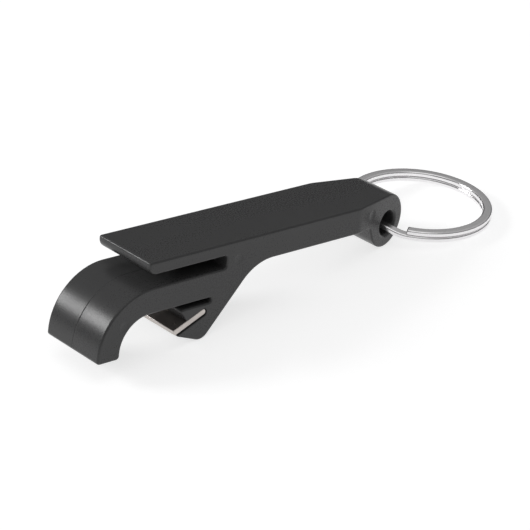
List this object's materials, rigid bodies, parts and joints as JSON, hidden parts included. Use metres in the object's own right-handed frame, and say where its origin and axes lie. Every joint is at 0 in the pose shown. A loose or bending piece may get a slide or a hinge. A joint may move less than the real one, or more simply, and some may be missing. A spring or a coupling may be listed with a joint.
{
  "type": "keychain bottle opener",
  "caption": "Pocket opener for crown caps and can tabs: moulded body with a steel lip plate set in its jaw and a split ring threaded through the end.",
  "frame": {"origin": "centre of the flat top face, on the mid plane of the width", "axes": "+X along the handle from the hook to the ring end, +Y across the width, +Z out of the flat top face"},
  "size_m": [0.103, 0.0301, 0.0186],
  "materials": {
    "body_plastic": "satin, fine moulded grain",
    "plate_steel": "brushed, sheared edges",
    "ring_steel": "polished nickel plate on spring steel"
  },
  "bodies": {
    "opener": {"body": "body_plastic", "lip_plate": "plate_steel"},
    "ring": {"split_ring": "ring_steel"}
  },
  "joints": [
    {"name": "ring_swing", "type": "hinge", "parent": "opener", "child": "ring", "pos_m": [0.03205, 0, -0.0062], "axis": [0, 1, 0], "range_deg": [-156, 176]}
  ]
}
